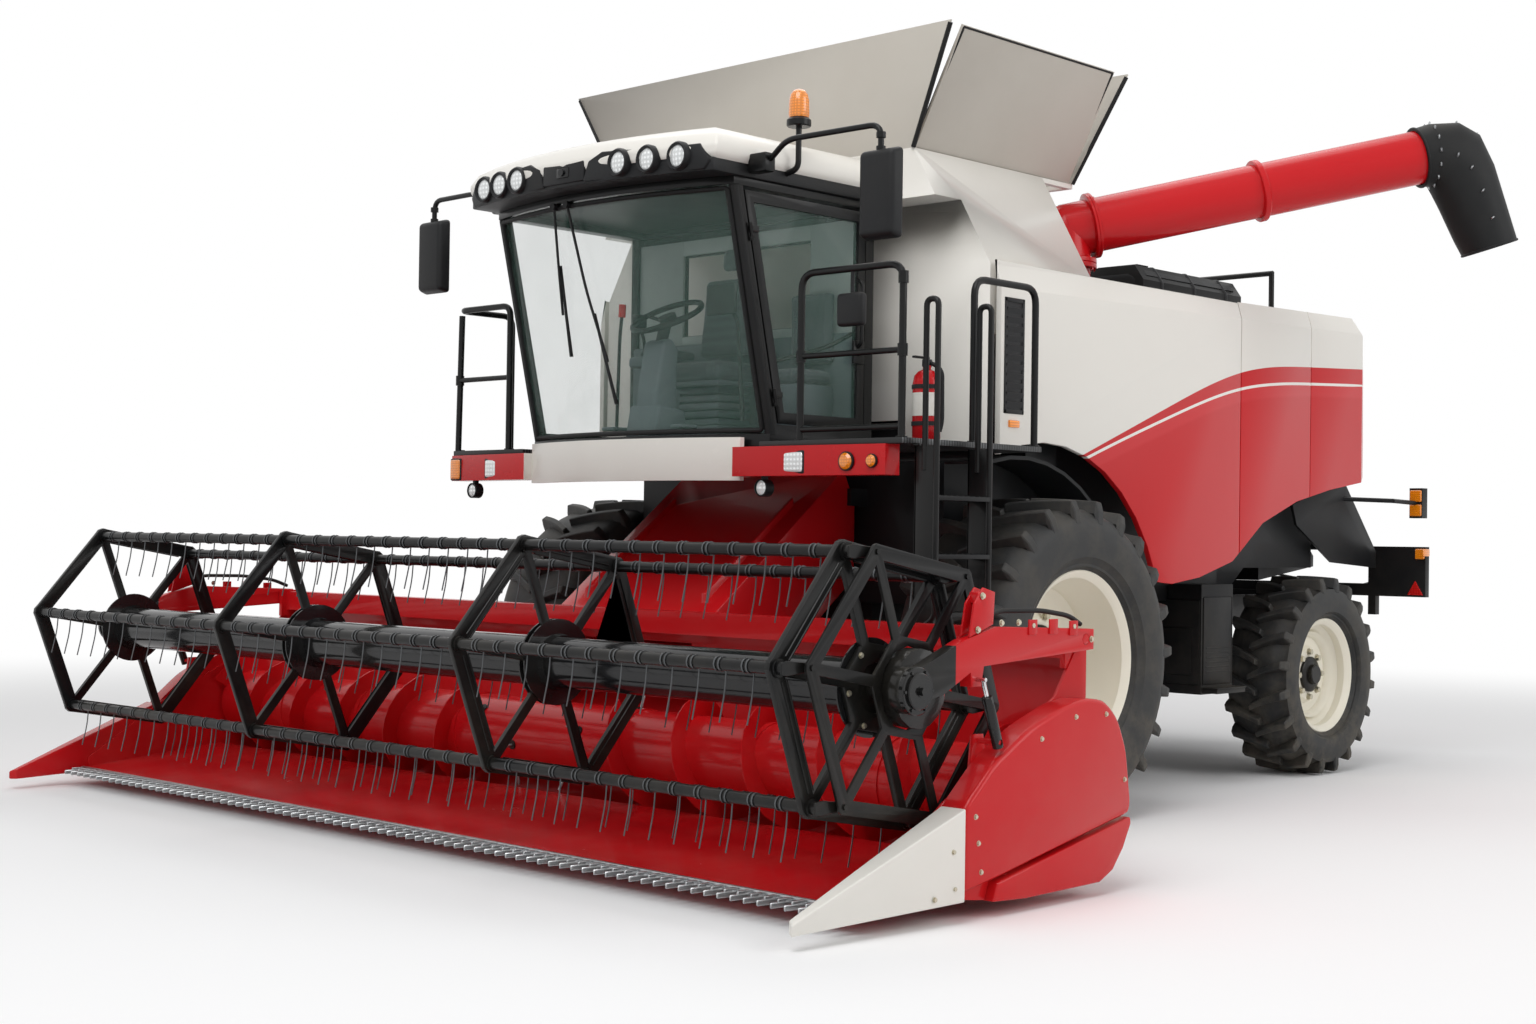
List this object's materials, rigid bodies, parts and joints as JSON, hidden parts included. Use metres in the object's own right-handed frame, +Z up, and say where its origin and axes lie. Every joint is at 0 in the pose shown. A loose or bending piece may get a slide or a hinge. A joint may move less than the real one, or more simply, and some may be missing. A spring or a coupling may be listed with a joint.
{
  "type": "combine harvester",
  "caption": "Self-propelled combine harvester with a reel-type grain header, glazed cab, grain tank with raised sides and a folded-back unloading auger.",
  "frame": {"origin": "middle of the footprint of the whole machine with its header, on the ground", "axes": "+Z up, -Y towards the front of the machine where the header is, +X towards its left side, where the ladder is"},
  "size_m": [6.54, 8.55, 4.3806],
  "materials": {
    "red_paint": "gloss",
    "white_paint": "gloss",
    "cream_paint": "satin",
    "black_paint": "satin",
    "grey_paint": "satin",
    "galvanised_sheet": "satin",
    "tyre_rubber": "matte",
    "steel": "satin",
    "chrome": "polished",
    "rubber": "matte",
    "tinted_glass": "clear",
    "roof_plastic": "gloss",
    "trim_plastic": "textured"
  },
  "bodies": {
    "chassis": {"chassis_frame": "black_paint", "threshing_housing": "grey_paint", "grain_tank": "white_paint", "engine": "grey_paint", "engine_deck": "black_paint", "rear_hood": "white_paint", "straw_chopper": "black_paint", "front_axle": "black_paint", "rear_axle": "black_paint", "cab_frame": "black_paint", "cab_roof": "roof_plastic", "windscreen": "tinted_glass", "cab_right_glass": "tinted_glass", "cab_interior": "trim_plastic", "front_bumper": "red_paint", "cab_platforms": "black_paint", "unloading_elbow": "red_paint"},
    "front_left_wheel": {"front_left_tyre": "tyre_rubber", "front_left_rim": "cream_paint"},
    "front_right_wheel": {"front_right_tyre": "tyre_rubber", "front_right_rim": "cream_paint"},
    "rear_left_knuckle": {"rear_left_knuckle": "black_paint"},
    "rear_right_knuckle": {"rear_right_knuckle": "black_paint"},
    "rear_left_wheel": {"rear_left_tyre": "tyre_rubber", "rear_left_rim": "cream_paint"},
    "rear_right_wheel": {"rear_right_tyre": "tyre_rubber", "rear_right_rim": "cream_paint"},
    "header": {"feeder_house": "red_paint", "header_frame": "red_paint", "knife_bar": "steel", "left_end_shield": "red_paint", "left_divider": "white_paint", "right_end_shield": "red_paint", "right_divider": "red_paint"},
    "header_auger": {"header_auger": "red_paint"},
    "reel_arms": {"reel_arm_left": "red_paint", "reel_arm_right": "red_paint"},
    "reel": {"reel_frame": "black_paint"},
    "reel_bat_1": {"reel_bat_1": "black_paint"},
    "reel_bat_2": {"reel_bat_2": "black_paint"},
    "reel_bat_3": {"reel_bat_3": "black_paint"},
    "reel_bat_4": {"reel_bat_4": "black_paint"},
    "reel_bat_5": {"reel_bat_5": "black_paint"},
    "reel_bat_6": {"reel_bat_6": "black_paint"},
    "reel_eccentric": {"reel_eccentric": "black_paint"},
    "reel_cylinder_left": {"reel_cylinder_left": "black_paint"},
    "reel_rod_left": {"reel_rod_left": "chrome"},
    "reel_cylinder_right": {"reel_cylinder_right": "black_paint"},
    "reel_rod_right": {"reel_rod_right": "chrome"},
    "lift_cylinder_barrels": {"lift_cylinder_barrels": "black_paint"},
    "lift_cylinder_rods": {"lift_cylinder_rods": "chrome"},
    "unloading_auger": {"unloading_tube": "red_paint", "unloading_spout": "rubber"},
    "cab_door": {"cab_door": "black_paint", "door_glass": "tinted_glass"},
    "ladder": {"ladder": "black_paint"},
    "tank_flap_left": {"tank_flap_left": "galvanised_sheet"},
    "tank_flap_right": {"tank_flap_right": "galvanised_sheet"},
    "side_panel_left": {"side_panel_left": "white_paint"},
    "side_panel_right": {"side_panel_right": "white_paint"}
  },
  "joints": [
    {"name": "front_left_wheel_spin", "type": "hinge", "parent": "chassis", "child": "front_left_wheel", "pos_m": [1.69, -0.715, 0.9], "axis": [1, 0, 0], "continuous": true},
    {"name": "front_right_wheel_spin", "type": "hinge", "parent": "chassis", "child": "front_right_wheel", "pos_m": [-1.69, -0.715, 0.9], "axis": [1, 0, 0], "continuous": true},
    {"name": "rear_left_steer", "type": "hinge", "parent": "chassis", "child": "rear_left_knuckle", "pos_m": [1.05, 2.745, 0.675], "axis": [0, 0, 1], "range_deg": [-35, 35]},
    {"name": "rear_left_wheel_spin", "type": "hinge", "parent": "rear_left_knuckle", "child": "rear_left_wheel", "pos_m": [1.42, 2.745, 0.675], "axis": [1, 0, 0], "continuous": true},
    {"name": "rear_right_steer", "type": "hinge", "parent": "chassis", "child": "rear_right_knuckle", "pos_m": [-1.05, 2.745, 0.675], "axis": [0, 0, 1], "range_deg": [-35, 35]},
    {"name": "rear_right_wheel_spin", "type": "hinge", "parent": "rear_right_knuckle", "child": "rear_right_wheel", "pos_m": [-1.42, 2.745, 0.675], "axis": [1, 0, 0], "continuous": true},
    {"name": "header_lift", "type": "hinge", "parent": "chassis", "child": "header", "pos_m": [0, -1.065, 1.8], "axis": [-1, 0, 0], "range_deg": [0, 18]},
    {"name": "header_auger_spin", "type": "hinge", "parent": "header", "child": "header_auger", "pos_m": [0, -2.705, 0.465], "axis": [1, 0, 0], "continuous": true},
    {"name": "reel_lift", "type": "hinge", "parent": "header", "child": "reel_arms", "pos_m": [0, -2.415, 1.13], "axis": [-1, 0, 0], "range_deg": [0, 10]},
    {"name": "reel_spin", "type": "hinge", "parent": "reel_arms", "child": "reel", "pos_m": [0, -3.6, 0.955], "axis": [1, 0, 0], "continuous": true},
    {"name": "reel_bat_1_turn", "type": "hinge", "parent": "reel", "child": "reel_bat_1", "pos_m": [0, -3.01896, 0.85255], "axis": [1, 0, 0], "continuous": true},
    {"name": "reel_bat_2_turn", "type": "hinge", "parent": "reel", "child": "reel_bat_2", "pos_m": [0, -3.22076, 1.40697], "axis": [1, 0, 0], "continuous": true},
    {"name": "reel_bat_3_turn", "type": "hinge", "parent": "reel", "child": "reel_bat_3", "pos_m": [0, -3.80179, 1.50942], "axis": [1, 0, 0], "continuous": true},
    {"name": "reel_bat_4_turn", "type": "hinge", "parent": "reel", "child": "reel_bat_4", "pos_m": [0, -4.18104, 1.05745], "axis": [1, 0, 0], "continuous": true},
    {"name": "reel_bat_5_turn", "type": "hinge", "parent": "reel", "child": "reel_bat_5", "pos_m": [0, -3.97924, 0.50303], "axis": [1, 0, 0], "continuous": true},
    {"name": "reel_bat_6_turn", "type": "hinge", "parent": "reel", "child": "reel_bat_6", "pos_m": [0, -3.39821, 0.40058], "axis": [1, 0, 0], "continuous": true},
    {"name": "reel_eccentric_spin", "type": "hinge", "parent": "reel_arms", "child": "reel_eccentric", "pos_m": [0, -3.49, 0.955], "axis": [1, 0, 0], "continuous": true},
    {"name": "lift_cylinder_swing", "type": "hinge", "parent": "chassis", "child": "lift_cylinder_barrels", "pos_m": [0, -0.94, 0.74], "axis": [-1, 0, 0], "range_deg": [0, 16.6]},
    {"name": "lift_cylinder_stroke", "type": "slide", "parent": "lift_cylinder_barrels", "child": "lift_cylinder_rods", "axis": [0, -0.9862, -0.1653], "range_m": [0, 0.333]},
    {"name": "reel_cylinder_left_swing", "type": "hinge", "parent": "header", "child": "reel_cylinder_left", "pos_m": [3.238, -3.095, 0.722], "axis": [-1, 0, 0], "range_deg": [0, 5.3]},
    {"name": "reel_cylinder_left_stroke", "type": "slide", "parent": "reel_cylinder_left", "child": "reel_rod_left", "axis": [0, -0.3554, 0.9347], "range_m": [0, 0.1355]},
    {"name": "reel_cylinder_right_swing", "type": "hinge", "parent": "header", "child": "reel_cylinder_right", "pos_m": [-3.238, -3.095, 0.722], "axis": [-1, 0, 0], "range_deg": [0, 5.3]},
    {"name": "reel_cylinder_right_stroke", "type": "slide", "parent": "reel_cylinder_right", "child": "reel_rod_right", "axis": [0, -0.3554, 0.9347], "range_m": [0, 0.1355]},
    {"name": "unloading_swing", "type": "hinge", "parent": "chassis", "child": "unloading_auger", "pos_m": [1.17, 0.245, 3.25], "axis": [0, 0, 1], "range_deg": [-50, 40]},
    {"name": "cab_door", "type": "hinge", "parent": "chassis", "child": "cab_door", "pos_m": [0.984, -2.045, 2.11], "axis": [0, 0.2251, -0.9743], "range_deg": [0, 65]},
    {"name": "ladder_swing", "type": "hinge", "parent": "chassis", "child": "ladder", "pos_m": [1.985, -2.108, 1.2], "axis": [0, 0, -1], "range_deg": [0, 90]},
    {"name": "tank_flap_left", "type": "hinge", "parent": "chassis", "child": "tank_flap_left", "pos_m": [1.182, -0.475, 3.7493], "axis": [0, -1, 0], "range_deg": [0, 110]},
    {"name": "tank_flap_right", "type": "hinge", "parent": "chassis", "child": "tank_flap_right", "pos_m": [-1.182, -0.475, 3.7493], "axis": [0, 1, 0], "range_deg": [0, 110]},
    {"name": "side_panel_left", "type": "hinge", "parent": "chassis", "child": "side_panel_left", "pos_m": [1.631, 0.285, 3.106], "axis": [0, -1, 0], "range_deg": [0, 75]},
    {"name": "side_panel_right", "type": "hinge", "parent": "chassis", "child": "side_panel_right", "pos_m": [-1.631, 0.285, 3.106], "axis": [0, 1, 0], "range_deg": [0, 75]}
  ],
  "couplings": [
    {"joint": "rear_right_steer", "follows": "rear_left_steer", "ratio": 1},
    {"joint": "reel_bat_1_turn", "follows": "reel_spin", "ratio": -1},
    {"joint": "reel_bat_2_turn", "follows": "reel_spin", "ratio": -1},
    {"joint": "reel_bat_3_turn", "follows": "reel_spin", "ratio": -1},
    {"joint": "reel_bat_4_turn", "follows": "reel_spin", "ratio": -1},
    {"joint": "reel_bat_5_turn", "follows": "reel_spin", "ratio": -1},
    {"joint": "reel_bat_6_turn", "follows": "reel_spin", "ratio": -1},
    {"joint": "reel_eccentric_spin", "follows": "reel_spin", "ratio": 1},
    {"joint": "lift_cylinder_swing", "follows": "header_lift", "ratio": 0.90943},
    {"joint": "lift_cylinder_stroke", "follows": "header_lift", "m_per_rad": 1.0584},
    {"joint": "reel_cylinder_left_swing", "follows": "reel_lift", "ratio": 0.50239},
    {"joint": "reel_cylinder_left_stroke", "follows": "reel_lift", "m_per_rad": 0.77348},
    {"joint": "reel_cylinder_right_swing", "follows": "reel_lift", "ratio": 0.50239},
    {"joint": "reel_cylinder_right_stroke", "follows": "reel_lift", "m_per_rad": 0.77348}
  ]
}
